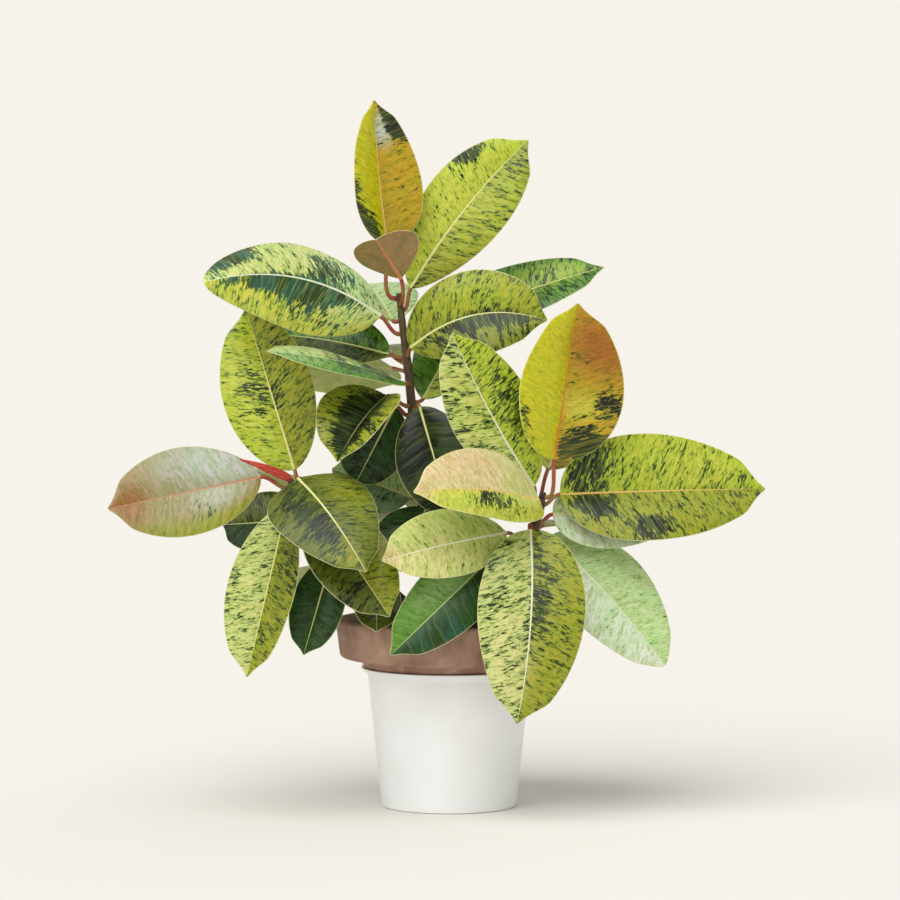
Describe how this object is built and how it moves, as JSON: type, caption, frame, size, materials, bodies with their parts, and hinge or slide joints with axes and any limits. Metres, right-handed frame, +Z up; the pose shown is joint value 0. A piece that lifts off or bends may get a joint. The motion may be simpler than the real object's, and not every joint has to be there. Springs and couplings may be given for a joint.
{
  "type": "potted rubber plant",
  "caption": "Bushy rubber plant with marbled oval leaves on woody stems, rooted in soil in a clay pot that hangs in a white outer pot. Stands on a floor or table as a house plant.",
  "frame": {"origin": "centre of the white pot's flat bottom, on the surface that it stands on", "axes": "+Z up, along the pots' own axis and the plant's height; -Y to the plant's front, the side that the picture shows; +X to its right seen from the front"},
  "size_m": [0.6505, 0.3471, 0.706],
  "materials": {
    "white_glaze": "satin",
    "brown_clay": "matte",
    "potting_soil": "matte",
    "bark": "satin",
    "red_sheath": "satin",
    "leaf_yellow": "satin",
    "leaf_lime": "satin",
    "leaf_olive": "satin",
    "leaf_deep": "satin",
    "leaf_pale": "satin",
    "leaf_bronze": "satin"
  },
  "bodies": {
    "root": {"white_pot": "white_glaze", "clay_pot": "brown_clay", "soil": "potting_soil", "stem_main": "bark", "stem_left": "bark", "stem_right": "bark", "bud_sheath": "red_sheath", "leaf_crown_upright": "leaf_yellow", "leaf_crown_right": "leaf_lime", "leaf_crown_young": "leaf_bronze", "leaf_left_upper": "leaf_lime", "leaf_right_arching": "leaf_olive", "leaf_right_deep": "leaf_deep", "leaf_back_pale": "leaf_pale", "leaf_left_edgeways": "leaf_lime", "leaf_left_shaded": "leaf_deep", "leaf_centre_folded": "leaf_olive", "leaf_centre_deep": "leaf_deep", "leaf_centre_dark": "leaf_deep", "leaf_centre_right": "leaf_lime", "leaf_centre_grey": "leaf_pale", "leaf_centre_low": "leaf_deep", "leaf_right_upright": "leaf_yellow", "leaf_right_pale": "leaf_pale", "leaf_right_long": "leaf_lime", "leaf_front_cream": "leaf_pale", "leaf_front_lime": "leaf_pale", "leaf_front_green": "leaf_deep", "leaf_front_hanging": "leaf_olive", "leaf_right_mint": "leaf_pale", "leaf_right_cream": "leaf_pale", "leaf_left_tall": "leaf_lime", "leaf_left_bronze": "leaf_bronze", "leaf_front_olive": "leaf_olive", "leaf_front_flecked": "leaf_olive", "leaf_left_hanging": "leaf_pale", "leaf_left_deep": "leaf_deep", "leaf_low_small": "leaf_olive", "leaf_left_shade": "leaf_deep", "leaf_back_left_high": "leaf_lime", "leaf_back_high": "leaf_olive", "leaf_back_right": "leaf_lime", "leaf_back_left": "leaf_yellow", "leaf_back_low": "leaf_olive", "leaf_back_right_low": "leaf_lime", "leaf_back_left_low": "leaf_lime", "leaf_back_middle": "leaf_pale", "leaf_back_right_tip": "leaf_olive", "leaf_back_left_tip": "leaf_yellow", "leaf_back_upright": "leaf_yellow"}
  },
  "joints": []
}
